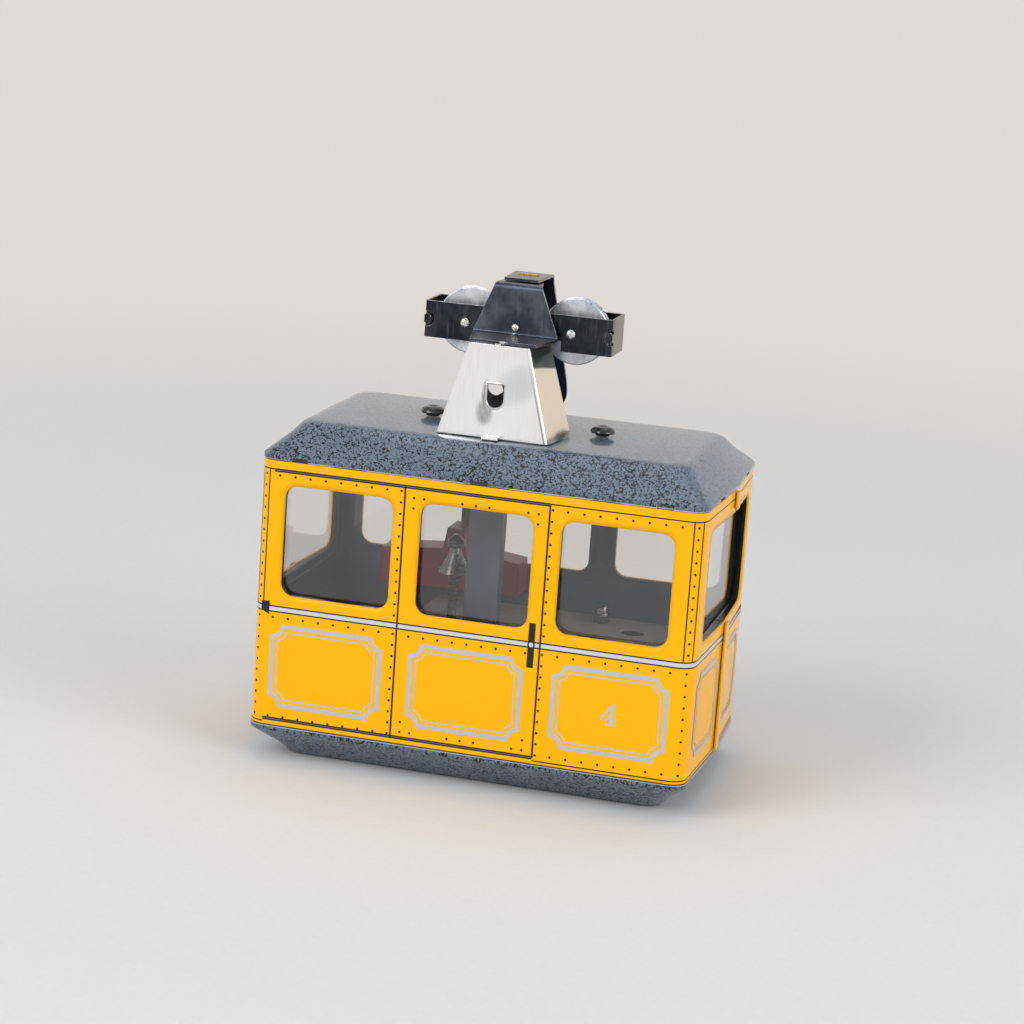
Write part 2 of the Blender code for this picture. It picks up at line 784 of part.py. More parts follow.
def build_pins(pivot):
    edge = frame_half_depth + GAP
    for name, x in (("axle_left", -axle_half_spacing), ("axle_right", axle_half_spacing)):
        headed_pin(name, x, axle_z, -edge, edge, axle_radius, axle_head_radius, pivot)
    low = cheek_y - hanger_tin - GAP
    headed_pin("pivot_rivet", 0.0, pivot_z, low, back_y + hanger_tin + GAP, rivet_radius, rivet_head_radius, None)


def build_wheels(pivot):
    """Narrow wheels with a deep groove for the rope and a long hub to keep them upright."""
    half = wheel_width / 2
    hub = frame_half_depth - frame_tin - GAP
    bore = axle_radius + running_gap
    edge = 0.25
    # radius, place along the axle
    side = [(bore, hub), (wheel_hub_radius, hub), (wheel_hub_radius, half), (wheel_radius - edge, half),
            (wheel_radius, half - edge), (wheel_radius, half - wheel_land), (groove_radius + 0.3, 0.4),
            (groove_radius, 0.0)]
    profile = [(r, -y) for r, y in side] + list(reversed(side[:-1]))
    for name, x in (("wheel_left", -axle_half_spacing), ("wheel_right", axle_half_spacing)):
        bm = lathe(profile, 56, "y", (x, 0, axle_z))
        make_object(name, bm, "zinc", (x, 0, axle_z), 30, pivot)


def main():
    clear_scene()
    pivot = bpy.data.objects.new("carriage_pivot", None)
    bpy.context.scene.collection.objects.link(pivot)
    pivot.location = Vector((0, 0, pivot_z)) * MM
    build_walls()
    build_straps()
    build_pans()
    build_glazing()
    build_floor()
    build_column()
    build_rear_box()
    build_post()
    build_nut()
    build_knobs()
    build_tower()
    build_tower_back()
    build_cheek()
    build_back()
    build_carriage(pivot)
    build_pins(pivot)
    build_wheels(pivot)


main()
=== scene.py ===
"""Looks of a tin toy cable car cabin: finishes, printed lines, studio and camera.

Lengths are in millimetres and MM turns them into metres.
+X runs along the cabin, -Y is its front and +Z is up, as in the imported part.
"""
import json
import math

import bmesh
import bpy
from mathutils import Matrix, Vector


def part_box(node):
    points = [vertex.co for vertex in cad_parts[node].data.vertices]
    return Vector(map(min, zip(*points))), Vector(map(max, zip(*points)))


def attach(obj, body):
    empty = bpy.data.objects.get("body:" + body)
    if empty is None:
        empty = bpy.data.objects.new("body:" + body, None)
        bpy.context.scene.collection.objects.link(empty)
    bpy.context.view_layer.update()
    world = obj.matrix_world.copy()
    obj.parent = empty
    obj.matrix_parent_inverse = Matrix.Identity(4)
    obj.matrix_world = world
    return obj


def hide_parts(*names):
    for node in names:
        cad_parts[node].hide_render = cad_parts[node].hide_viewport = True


MM = 0.001

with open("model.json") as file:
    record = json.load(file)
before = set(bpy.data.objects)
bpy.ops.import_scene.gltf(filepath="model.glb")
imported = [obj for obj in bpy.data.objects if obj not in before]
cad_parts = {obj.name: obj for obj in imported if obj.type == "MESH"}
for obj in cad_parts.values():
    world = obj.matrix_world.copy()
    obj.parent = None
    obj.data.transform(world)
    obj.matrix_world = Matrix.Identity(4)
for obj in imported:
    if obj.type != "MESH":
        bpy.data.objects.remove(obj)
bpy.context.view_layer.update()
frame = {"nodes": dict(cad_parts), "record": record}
nodes = frame["nodes"]

# Camera, fitted to the photograph's 1024 by 1024 frame
camera_azimuth = 14.202
camera_elevation = 12.849
camera_roll = 4.134
camera_distance = 689.93
camera_target = Vector((0.286, 0.0, 62.76))
focal_pixels = 2775.69
frame_pixels = 1024
sensor_width = 36.0

# Cabin shell. Values that begin with cad_ are the part's own, where a moved copy is shown.
cabin_half_length = 55.0
cabin_half_depth = 32.2
corner_radius = 4.0
end_bulge = 1.1
window_radius = 3.2
cad_sill = 42.6
cad_window_top = 70.4
sill = 42.25
window_top = 69.8
door_window_half = 14.0
side_window_near = 20.8
side_window_far = 48.2
cad_end_window_half = 21.3
end_window_half = 24.5
roof_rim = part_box("roof_pan")[0].z / MM
tub_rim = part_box("tub_pan")[1].z / MM

# Printed lines on the walls, along the wall from its middle and up. Rows and columns of dots
# have a start, a step and a count.
door_line_left = -18.1
door_line_right = 17.65
door_line_width = 0.4
band_high = 73.4
band_low = 10.05
thin_line = 0.3
gutter_high = 73.2
gutter_low = 10.8
gutter_width = 0.85
gutter_start = -51.1
stripe_z = 38.7
stripe_width = 1.0
stripe_edge = 0.33
strip_line_near = 52.4
strip_line_far = 54.9
dot_radius = 0.3
dot_column_x = 53.55
dot_columns_door = (-19.0, 18.35)
upper_dots = (72.0, 2.8, 12)
lower_dots = (36.6, 2.79, 10)
row_levels = (71.95, 36.6, 11.5)
row_left = (-49.7, 3.87, 8)
row_right = (22.05, 3.93, 8)
row_door = (-15.0, 3.64, 9)
row_door_level = 36.48
door_row_levels = ((70.65, -1), (12.3, 1))
door_row_dots = (-3.8, -0.46, 2.88, -13.27, -15.8, 12.45, 14.98)
door_corner_dots = (-15.8, 14.98)
door_corner_step = 2.5
panel_centres = (-35.75, -0.35, 35.5)
panel_half_width = 14.35
panel_z = 24.45
panel_half_height = 10.55
panel_notch = 2.78
panel_band = 1.1
panel_line_inset = 1.8
panel_line = 0.35
end_panel_centre = 70.9
end_panel_half_width = 11.3
end_wall_end = 85.2
handle_x = 15.48
handle_half = 0.8
handle_low = 33.05
handle_high = 44.05
handle_ring = 0.9
handle_spot = 0.58
left_hinge = ((-52.9, 38.2), (-50.7, 37.2), (-50.7, 40.6), (-52.9, 40.3))
ink = 0.02

# Nodes whose finish differs from the one their material slot names
# The post and the nut inside the cabin take a darker copy of bright metal, as painted shade.
own_finish = {"turned_post": "shaded_bright_metal", "acorn_nut": "shaded_bright_metal", "carriage_front": "dark_steel",
              "carriage_rear": "dark_steel"}

# Slots in the roof's rim, and the wall's tabs that are bent over behind them, black as painted shade behind
# the slots
rim_slot_x = 45.0
rim_slot_y = 16.3
rim_tab_half = 2.0
rim_tab_thick = 0.25
rim_tab_path = ((-0.05, -0.1), (-0.05, 1.15), (-0.12, 1.4), (-0.3, 1.55), (-0.9, 1.6))

# Tower, as the part has it
tower_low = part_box("tower_front")[0].z / MM
tower_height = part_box("tower_front")[1].z / MM - tower_low
tower_front = -20.0
cad_tower_x = -0.7
tower_hole_half = 2.05
tower_hole_height = 5.8
tower_hole_above = 7.4

# Tower as it is shown, its middle moved to the left at the foot and its width scaled,
# and its right bend at the foot and the top
tower_middle_foot = -1.05
tower_middle_rise = 0.35
tower_wide_foot = 1.034
tower_wide_fall = 0.054
bend_foot = 12.85
bend_top = 6.8

# Painted reflections on the tower's tinplate, and a scuff on the hanger's cheek, each the middle and the half
# sizes of a soft spot along x and up z.
# The blue reflection leans.
tower_lean = 0.25
tower_blue_reflection = ((-20.0, 98.4), (6.0, 6.4))
tower_reflection_beside_hole = ((-3.1, 95.0), (1.5, 5.0))
tower_reflection_below_hole = ((-3.3, 91.0), (2.9, 4.6))
cheek_scuff = ((0.2, 108.3), (1.3, 0.9))

# Inner faces of the walls, and the depths of the lips behind the windows
lining_x = 52.5
lining_y = 29.5
long_lip = (29.5, 31.62)
long_lip_end = 50.0
end_lip = (53.0, cabin_half_length + end_bulge - 0.5)
end_lip_end = 26.0

# Column, hump of the red box and end panes as they are shown
column_middle = -1.2
column_wide = 0.84
hump_x = -20.5
hump_half = 4.5
hump_shown_x = -19.4
hump_wide = 0.74
box_lowered = 1.0
hump_lowered = 1.8
pane_overlap = 2.7

# Burr around the tower's hole, as growth past the hole and depth behind the tower's front
burr = ((0.46, 0.02), (0.36, -0.06), (0.08, -0.06), (-0.03, 0.05), (-0.03, 0.6))


class Graph:
    """A material's node tree, with short calls for the nodes used here."""

    def __init__(self, name):
        self.material = bpy.data.materials.new(name)
        self.material.use_nodes = True
        self.tree = self.material.node_tree
        self.shader = self.tree.nodes["Principled BSDF"]
        place = self.add("TexCoord")
        self.place = place.outputs["Object"]
        self.normal = place.outputs["Normal"]
        parts = self.add("SeparateXYZ")
        self.feed(parts.inputs[0], self.place)
        self.x, self.y, self.z = parts.outputs

    def add(self, kind, **settings):
        made = self.tree.nodes.new("ShaderNode" + kind)
        for key, value in settings.items():
            setattr(made, key, value)
        return made

    def feed(self, socket, value):
        if isinstance(value, bpy.types.NodeSocket):
            self.tree.links.new(value, socket)
        elif hasattr(value, "__len__") and len(value) == 3 and len(socket.default_value) == 4:
            socket.default_value = (*value, 1.0)
        else:
            socket.default_value = value

    def math(self, operation, *values):
        node = self.add("Math", operation=operation)
        for socket, value in zip(node.inputs, values):
            self.feed(socket, value)
        return node.outputs[0]

    def stretched(self, scales):
        """The object's own coordinates, scaled by axis."""
        node = self.add("Mapping")
        self.feed(node.inputs["Vector"], self.place)
        node.inputs["Scale"].default_value = scales
        return node.outputs[0]

    def noise(self, scale, detail=2.0, roughness=0.5, vector=None):
        node = self.add("TexNoise")
        self.feed(node.inputs["Vector"], vector or self.place)
        node.inputs["Scale"].default_value = scale
        node.inputs["Detail"].default_value = detail
        node.inputs["Roughness"].default_value = roughness
        return node.outputs["Fac"]

    def fade(self, value, start, end, low=0.0, high=1.0):
        """A smooth step from low to high while value goes from start to end."""
        node = self.add("MapRange", interpolation_type="SMOOTHSTEP")
        for socket, number in zip(node.inputs, (value, start, end, low, high)):
            self.feed(socket, number)
        return node.outputs[0]

    def mix(self, share, one, two):
        node = self.add("Mix", data_type="RGBA")
        self.feed(node.inputs[0], share)
        self.feed(node.inputs[6], one)
        self.feed(node.inputs[7], two)
        return node.outputs[2]

    def bump(self, height, depth, strength=1.0, normal=None):
        """A bump whose height from 0 to 1 stands for depth in millimetres."""
        node = self.add("Bump")
        self.feed(node.inputs["Height"], height)
        node.inputs["Distance"].default_value = depth * MM
        node.inputs["Strength"].default_value = strength
        if normal:
            self.feed(node.inputs["Normal"], normal)
        return node.outputs[0]

    def soft_edge(self, radius):
        """The normal of an edge rounded by a radius in millimetres."""
        node = self.add("Bevel", samples=6)
        node.inputs["Radius"].default_value = radius * MM
        return node.outputs[0]

    def edge_share(self, radius):
        """1 at a worn edge and 0 away from it."""
        node = self.add("VectorMath", operation="DOT_PRODUCT")
        plain = self.add("NewGeometry")
        self.feed(node.inputs[0], self.soft_edge(radius))
        self.feed(node.inputs[1], plain.outputs["Normal"])
        return self.fade(node.outputs["Value"], 0.995, 0.90)

    def set(self, **values):
        for name, value in values.items():
            self.feed(self.shader.inputs[name.replace("_", " ")], value)
        return self.material


def rounded_box_distance(graph, u, v, centre, half, radius):
    """Distance in millimetres from a rounded rectangle in two coordinates in metres."""
    def outside(value, middle, reach):
        away = graph.math("ABSOLUTE", graph.math("SUBTRACT", value, middle * MM))
        return graph.math("SUBTRACT", away, (reach - radius) * MM)
    a = outside(u, centre[0], half[0])
    b = outside(v, centre[1], half[1])
    far = graph.math("SQRT", graph.math("ADD", graph.math("POWER", graph.math("MAXIMUM", a, 0.0), 2.0),
                                        graph.math("POWER", graph.math("MAXIMUM", b, 0.0), 2.0)))
    near = graph.math("MINIMUM", graph.math("MAXIMUM", a, b), 0.0)
    both = graph.math("SUBTRACT", graph.math("ADD", far, near), radius * MM)
    return graph.math("DIVIDE", both, MM)


def window_distance(graph):
    """Distance in millimetres from the nearest window of the cabin."""
    middle_z = (sill + window_top) / 2
    half_z = (window_top - sill) / 2
    side_middle = (side_window_near + side_window_far) / 2
    side_half = (side_window_far - side_window_near) / 2
    folded = graph.math("ABSOLUTE", graph.x)
    windows = ((graph.x, 0, door_window_half), (folded, side_middle, side_half),
               (graph.y, 0, end_window_half))
    door, side, end = (
        rounded_box_distance(graph, along, graph.z, (middle, middle_z), (half, half_z), window_radius)
        for along, middle, half in windows)
    return graph.math("MINIMUM", graph.math("MINIMUM", door, side), end)


def inside_share(graph):
    """1 on the wall's inner faces and 0 on its printed faces and window edges."""
    parts = graph.add("SeparateXYZ")
    graph.feed(parts.inputs[0], graph.normal)
    share = None
    limits = ((graph.x, parts.outputs[0], lining_x), (graph.y, parts.outputs[1], lining_y))
    for place, facing, limit in limits:
        far = graph.math("GREATER_THAN", graph.math("ABSOLUTE", place), limit * MM)
        inward = graph.math("LESS_THAN", graph.math("MULTIPLY", place, facing), -0.012)
        both = graph.math("MULTIPLY", far, inward)
        share = both if share is None else graph.math("MAXIMUM", share, both)
    return share


def flag(graph, value, low, high):
    """1 while a coordinate in metres lies between two levels in millimetres."""
    over = graph.math("GREATER_THAN", value, low * MM)
    return graph.math("MULTIPLY", over, graph.math("LESS_THAN", value, high * MM))


def blob(graph, u, v, spot):
    """A soft spot in two coordinates, 1 in its middle and 0 outside its half sizes."""
    centre, half = spot
    parts = []
    for value, middle, reach in zip((u, v), centre, half):
        away = graph.math("DIVIDE", graph.math("SUBTRACT", value, middle * MM), reach * MM)
        parts.append(graph.math("POWER", graph.math("ABSOLUTE", away), 2.0))
    return graph.fade(graph.math("ADD", *parts), 1.0, 0.0)


def window_lip_shade_share(graph):
    """1 on the lips behind the windows, on the long walls and on the bulged ends, which are painted near
    black as shade.
    """
    far_x = graph.math("ABSOLUTE", graph.x)
    far_y = graph.math("ABSOLUTE", graph.y)
    long_wall = graph.math("MULTIPLY", flag(graph, far_y, *long_lip),
                           graph.math("LESS_THAN", far_x, long_lip_end * MM))
    flattened = graph.math("ADD", far_x, graph.math("MULTIPLY", far_y, end_bulge / cabin_half_depth))
    end_wall = graph.math("MULTIPLY", flag(graph, flattened, *end_lip),
                          graph.math("LESS_THAN", far_y, end_lip_end * MM))
    return graph.math("MAXIMUM", long_wall, end_wall)


def yellow_litho():
    """Amber print on tinplate, with a blue grey lining and painted shade: the lips behind the windows are
    near black.
    """
    g = Graph("yellow_litho")
    inside = inside_share(g)
    lip = g.math("MULTIPLY", window_lip_shade_share(g), g.math("SUBTRACT", 1.0, inside))
    yellow = g.mix(g.noise(60, 3), (1.0, 0.47, 0.0), (1.0, 0.50, 0.0))
    lining = g.mix(g.noise(90, 3), (0.035, 0.055, 0.085), (0.058, 0.083, 0.120))
    # Painted shade: near black on the lips behind the windows, for the shaded gap between the wall's rolled
    # edge and the pane.
    colour = g.mix(lip, g.mix(inside, yellow, lining), (0.012, 0.010, 0.008))
    near = window_distance(g)
    rim = g.fade(near, 1.6, 0.0)
    pressed = g.math("SUBTRACT", 1.0, g.math("POWER", rim, 2.0))
    rolled = g.add("Bevel", samples=8)
    g.feed(rolled.inputs["Radius"], g.fade(near, 2.5, 0.5, 0.25 * MM, 0.8 * MM))
    peel = g.bump(g.noise(420, 1), 0.003, normal=rolled.outputs[0])
    return g.set(Base_Color=colour, Roughness=g.fade(inside, 0.0, 1.0, 0.17, 0.4), IOR=1.27,
                 Normal=g.bump(pressed, 0.35, normal=peel))


def curled_marks(graph, scale, width, shift, cover):
    """Short curled lines, the level lines of a noise that a second noise breaks up."""
    moved = graph.add("VectorMath", operation="ADD")
    graph.feed(moved.inputs[0], graph.place)
    moved.inputs[1].default_value = (shift, -shift, 0.5 * shift)
    level = graph.noise(scale, 0, vector=moved.outputs[0])
    away = graph.math("ABSOLUTE", graph.math("SUBTRACT", level, 0.5))
    line = graph.fade(graph.math("DIVIDE", away, width), 1.0, 0.7)
    broken = graph.noise(scale * 1.35, 0, vector=moved.outputs[0])
    return graph.math("MULTIPLY", line, graph.fade(broken, cover, cover + 0.035))


def grey_crackle():
    """Blue grey enamel that has broken up into short, curled black marks."""
    g = Graph("grey_crackle")
    bold = g.noise(55, 2)
    width = g.fade(bold, 0.35, 0.65, 0.060, 0.095)
    marks = g.math("MAXIMUM", curled_marks(g, 980, width, 0.013, 0.45),
                   curled_marks(g, 1250, width, 0.071, 0.47))
    facing = g.add("SeparateXYZ")
    g.feed(facing.inputs[0], g.normal)
    calm = g.math("MAXIMUM", g.fade(facing.outputs[2], 0.90, 0.98),
                  g.fade(g.math("ABSOLUTE", facing.outputs[0]), 0.25, 0.45))
    marks = g.math("MULTIPLY", marks, g.math("MULTIPLY_ADD", calm, -0.4, 1.0))
    grain = g.noise(4200, 2, 0.7)
    cloud = g.noise(70, 3)
    paint = g.mix(grain, (0.085, 0.122, 0.172), (0.150, 0.198, 0.265))
    paint = g.mix(g.fade(cloud, 0.35, 0.7, 0.0, 0.25), paint, (0.19, 0.24, 0.31))
    colour = g.mix(marks, paint, (0.004, 0.005, 0.007))
    worn = g.math("MULTIPLY", g.edge_share(0.3), g.fade(g.noise(600, 2), 0.40, 0.55))
    colour = g.mix(g.math("MULTIPLY", worn, 0.7), colour, (0.006, 0.008, 0.011))
    from_roof = g.math("ABSOLUTE", g.math("SUBTRACT", g.z, roof_rim * MM))
    from_tub = g.math("ABSOLUTE", g.math("SUBTRACT", g.z, tub_rim * MM))
    raw = g.math("LESS_THAN", g.math("MINIMUM", from_roof, from_tub), 0.14 * MM)
    colour = g.mix(raw, colour, (0.42, 0.45, 0.50))
    height = g.math("SUBTRACT", g.math("MULTIPLY", grain, 0.3), marks)
    edge = g.soft_edge(0.35)
    return g.set(Base_Color=colour, Roughness=0.32, IOR=1.3,
                 Coat_Weight=1.0, Coat_Roughness=0.07, Coat_IOR=1.33,
                 Coat_Normal=g.bump(g.noise(500, 1), 0.006, normal=edge),
                 Normal=g.bump(height, 0.025, 0.6, normal=edge))


def tinplate():
    """Rolled tinplate, brushed upwards, with painted reflections on the tower: a blue cloud, dark patches
    around the hole, a dark line beside the right bend, and warm and dark tones on the flange.
    """
    g = Graph("tinplate")
    parts = g.add("SeparateXYZ")
    g.feed(parts.inputs[0], g.normal)
    brushed = g.noise(1.0, 4, 0.6, vector=g.stretched((3000, 3000, 100)))
    fine = g.noise(1.0, 2, 0.6, vector=g.stretched((5200, 5200, 420)))
    colour = g.mix(g.fade(brushed, 0.30, 0.70), (1.0, 1.0, 1.0), (0.93, 0.94, 0.96))
    # Painted reflection: a leaning blue grey cloud on the tower's front, for dark surroundings that the tin
    # mirrors.
    blue = blob(g, g.math("SUBTRACT", g.x, g.math("MULTIPLY", g.z, tower_lean)), g.z, tower_blue_reflection)
    colour = g.mix(g.math("MULTIPLY", blue, 0.5), colour, (0.56, 0.60, 0.65))
    share = g.math("DIVIDE", g.math("SUBTRACT", g.z, tower_low * MM), tower_height * MM)
    # Painted reflection: a dark line just left of the right bend, down its lower part, beside the bend's
    # highlight.
    bend = g.math("SUBTRACT", g.x, g.math("MULTIPLY_ADD", share, (bend_top - bend_foot) * MM, bend_foot * MM))
    line = g.math("MULTIPLY", g.fade(bend, -1.25 * MM, -0.8 * MM), g.fade(bend, -0.55 * MM, -0.75 * MM))
    line = g.math("MULTIPLY", line, g.fade(share, 0.85, 0.3, 0.15, 0.8))
    line = g.math("MULTIPLY", line, g.math("LESS_THAN", g.y, -19.0 * MM))
    colour = g.mix(line, colour, (0.22, 0.24, 0.27))
    # Painted reflection: dark grey patches beside and below the hole, for dark surroundings mirrored in the
    # tinplate.
    beside = blob(g, g.x, g.z, tower_reflection_beside_hole)
    below = g.math("MULTIPLY", blob(g, g.x, g.z, tower_reflection_below_hole), 0.75)
    dark = g.math("MAXIMUM", beside, below)
    dark = g.math("MULTIPLY", g.fade(dark, 0.05, 0.95), g.fade(fine, 0.35, 0.62, 0.6, 1.0))
    colour = g.mix(g.math("MULTIPLY", dark, 0.85), colour, (0.17, 0.175, 0.18))
    # Painted reflection: the flange facing +x is warm beige at its top, dark olive below and bluish dark at
    # its foot, for what its mirror-like tin reflects.
    flank = g.math("MULTIPLY", g.fade(parts.outputs[0], 0.6, 0.8), g.math("LESS_THAN", g.y, -3.0 * MM))
    arch = g.math("ADD", g.z, g.math("MULTIPLY", g.y, 0.12))
    top = g.fade(arch, 100.2 * MM, 100.8 * MM)
    tone = g.mix(top, (0.93, 0.84, 0.68), g.mix(fine, (0.07, 0.085, 0.07), (0.16, 0.18, 0.16)))
    foot = g.fade(g.math("ADD", g.z, g.math("MULTIPLY", brushed, 1.6 * MM)), 87.4 * MM, 86.4 * MM)
    tone = g.mix(g.math("MULTIPLY", foot, 0.8), tone, (0.24, 0.27, 0.29))
    colour = g.mix(flank, colour, tone)
    rough = g.math("ADD", g.math("MULTIPLY", brushed, 0.14), 0.12)
    height = g.math("ADD", brushed, g.math("MULTIPLY", fine, 0.4))
    return g.set(Base_Color=colour, Metallic=0.8, Roughness=rough,
                 Normal=g.bump(height, 0.005, 0.8, normal=g.soft_edge(0.18)))


def blackened_steel(name, dark, light):
    """Blued spring steel, faintly streaked and bare along its cut edges, with a painted brown grey reflection
    on faces turned up or towards +x.
    """
    g = Graph(name)
    parts = g.add("SeparateXYZ")
    g.feed(parts.inputs[0], g.normal)
    rubbed = g.noise(1.0, 3, 0.6, vector=g.stretched((1100, 1100, 130)))
    blotch = g.noise(120, 3, 0.6)
    body = g.mix(g.fade(blotch, 0.35, 0.65), dark, light)
    body = g.mix(g.fade(rubbed, 0.50, 0.75, 0.0, 0.35), body, (0.15, 0.165, 0.19))
    # Painted reflection: faces turned up or towards +x are tinted brown grey, for the warm studio they
    # mirror.
    outer = g.math("MAXIMUM", g.fade(parts.outputs[0], 0.7, 0.9), g.fade(parts.outputs[2], 0.8, 0.95))
    body = g.mix(g.math("MULTIPLY", outer, 0.85), body, (0.33, 0.295, 0.26))
    scuff = g.math("MULTIPLY", blob(g, g.x, g.z, cheek_scuff), g.math("LESS_THAN", g.y, -7.0 * MM))
    body = g.mix(g.math("MULTIPLY", scuff, g.fade(g.noise(900, 2), 0.4, 0.6)), body, (0.72, 0.73, 0.75))
    edge = g.math("MULTIPLY", g.edge_share(0.14), g.fade(g.noise(700, 2), 0.35, 0.6, 0.3, 1.0))
    colour = g.mix(edge, body, (0.50, 0.49, 0.47))
    rough = g.fade(rubbed, 0.2, 0.8, 0.26, 0.38)
    return g.set(Base_Color=colour, Metallic=1.0, Roughness=rough,
                 Normal=g.bump(rubbed, 0.004, 0.6, normal=g.soft_edge(0.14)))


def zinc():
    """Bluish zinc with fine streaks, dull clouds and dark specks."""
    g = Graph("zinc")
    streaks = g.noise(1.0, 3, 0.6, vector=g.stretched((2200, 300, 160)))
    patch = g.noise(210, 3, 0.6)
    specks = g.fade(g.noise(1400, 3, 0.7), 0.58, 0.66)
    base = g.mix(g.fade(patch, 0.3, 0.7), (0.46, 0.51, 0.59), (0.90, 0.93, 0.97))
    colour = g.mix(g.math("MULTIPLY", specks, g.fade(patch, 0.62, 0.38)), base, (0.08, 0.09, 0.10))
    rough = g.fade(streaks, 0.3, 0.7, 0.32, 0.48)
    return g.set(Base_Color=colour, Metallic=0.85, Roughness=rough,
                 Normal=g.bump(streaks, 0.008, 0.7, normal=g.soft_edge(0.15)))


def turned_metal(name, dark, light):
    """Turned and plated metal with fine rings."""
    g = Graph(name)
    rings = g.noise(1.0, 2, vector=g.stretched((300, 300, 5000)))
    return g.set(Base_Color=g.mix(g.noise(600, 2), dark, light), Metallic=1.0,
                 Roughness=g.fade(rings, 0.3, 0.7, 0.20, 0.30), Normal=g.bump(rings, 0.0006, 0.5))


def black_enamel():
    """Thick black enamel over a hammered knob."""
    g = Graph("black_enamel")
    dents = g.noise(420, 2)
    colour = g.mix(g.fade(dents, 0.4, 0.7), (0.010, 0.011, 0.013), (0.035, 0.038, 0.042))
    return g.set(Base_Color=colour, Roughness=g.fade(dents, 0.3, 0.7, 0.20, 0.34), Coat_Weight=0.6,
                 Coat_Roughness=0.08, Normal=g.bump(dents, 0.12))


def brass():
    g = Graph("brass")
    colour = g.mix(g.noise(900, 3), (0.70, 0.42, 0.07), (0.86, 0.60, 0.17))
    return g.set(Base_Color=colour, Metallic=1.0, Roughness=g.fade(g.noise(500, 2), 0.3, 0.7, 0.25, 0.42))


def painted(name, dark, light, rough):
    """A plain lacquer whose tone drifts between two near colours."""
    g = Graph(name)
    cloud = g.noise(70, 4, 0.6)
    fine = g.noise(1600, 2)
    return g.set(Base_Color=g.mix(cloud, dark, light),
                 Roughness=g.fade(fine, 0.3, 0.7, rough, rough + 0.12),
                 Normal=g.bump(fine, 0.004, 0.6, normal=g.soft_edge(0.15)))


def printed_ink(name, dark, light, rough, metal, lines=()):
    """Ink under the wall's lacquer; lines are (level, half width, colour) along the wall."""
    g = Graph(name)
    colour = g.mix(g.noise(1800, 2), dark, light)
    for level, half, tint in lines:
        away = g.math("ABSOLUTE", g.math("SUBTRACT", g.z, level * MM))
        colour = g.mix(g.fade(away, half * MM, half * 0.6 * MM), colour, tint)
    return g.set(Base_Color=colour, Metallic=metal, Roughness=rough, IOR=1.3)


def clear_sheet():
    """A thin clear sheet that lets light through to what it covers."""
    g = Graph("clear_sheet")
    g.set(Base_Color=(0.95, 0.925, 0.90), Roughness=0.015, IOR=1.58, Transmission_Weight=1.0)
    ghost = g.add("BsdfTransparent")
    ghost.inputs[0].default_value = (0.84, 0.84, 0.83, 1.0)
    path = g.add("LightPath")
    choose = g.add("MixShader")
    g.feed(choose.inputs[0], path.outputs["Is Shadow Ray"])
    g.feed(choose.inputs[1], g.shader.outputs[0])
    g.feed(choose.inputs[2], ghost.outputs[0])
    g.feed(g.tree.nodes["Material Output"].inputs[0], choose.outputs[0])
    return g.material


def smooth_group(angle):
    """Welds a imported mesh, shades it smooth and keeps edges sharper than angle."""
    tree = bpy.data.node_groups.new(f"smooth_{angle}", "GeometryNodeTree")
    tree.interface.new_socket("Geometry", in_out="INPUT", socket_type="NodeSocketGeometry")
    tree.interface.new_socket("Geometry", in_out="OUTPUT", socket_type="NodeSocketGeometry")
    made = [tree.nodes.new(kind) for kind in (
        "NodeGroupInput", "GeometryNodeMergeByDistance", "GeometryNodeRemoveAttribute",
        "GeometryNodeSetShadeSmooth", "GeometryNodeSetShadeSmooth", "NodeGroupOutput")]
    start, weld, clear, faces, edges, end = made
    weld.inputs["Distance"].default_value = 0.002 * MM
    clear.inputs["Name"].default_value = "custom_normal"
    faces.inputs["Shade Smooth"].default_value = True
    edges.domain = "EDGE"
    edges.inputs["Shade Smooth"].default_value = False
    turn = tree.nodes.new("GeometryNodeInputMeshEdgeAngle")
    sharp = tree.nodes.new("FunctionNodeCompare")
    sharp.operation = "GREATER_THAN"
    sharp.inputs[1].default_value = math.radians(angle)
    tree.links.new(turn.outputs["Unsigned Angle"], sharp.inputs[0])
    tree.links.new(sharp.outputs[0], edges.inputs["Selection"])
    for one, two in zip(made, made[1:]):
        tree.links.new(one.outputs[0], two.inputs["Geometry"])
    return tree


def dress_nodes(finishes):
    """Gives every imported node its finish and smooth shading."""
    tree = smooth_group(32)
    for part in frame["record"]["subparts"]:
        node = nodes[part["node"]]
        slot = part["material_slot"]
        for holder in node.material_slots:
            holder.material = finishes[own_finish.get(part["node"], slot)]
        smooth = node.modifiers.new("smooth", "NODES")
        smooth.node_group = tree


def refit(name, piece_name, finish, body, move):
    """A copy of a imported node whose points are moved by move(x, y, z), in its place."""
    node = nodes[name]
    mesh = node.data.copy()
    mesh.name = piece_name
    for vertex in mesh.vertices:
        vertex.co = Vector(move(*(vertex.co / MM))) * MM
    mesh.materials.clear()
    mesh.materials.append(finish)
    piece = link_object(piece_name, mesh)
    smooth = piece.modifiers.new("smooth", "NODES")
    smooth.node_group = node.modifiers["smooth"].node_group
    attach(piece, body)
    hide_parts(name)


def window_levels(z):
    """Moves the levels of a window's edge and lip, and leaves the others."""
    if abs(z - cad_sill) < window_radius + 0.1:
        return z + sill - cad_sill
    if abs(z - cad_window_top) < window_radius + 0.1:
        return z + window_top - cad_window_top
    return z


def wall_move(x, y, z):
    """The walls with their windows at the photograph's levels and wider ones in the ends."""
    near_window = cad_sill - 1 < z < cad_window_top + 1
    if near_window and abs(x) > lining_x and cad_end_window_half - window_radius - 0.1 < abs(y) < 22.2:
        shift = end_window_half - cad_end_window_half
        if abs(x) > 54.2:
            x -= math.copysign(end_bulge / cabin_half_depth * shift, x)
        y += math.copysign(shift, y)
    return x, y, window_levels(z)


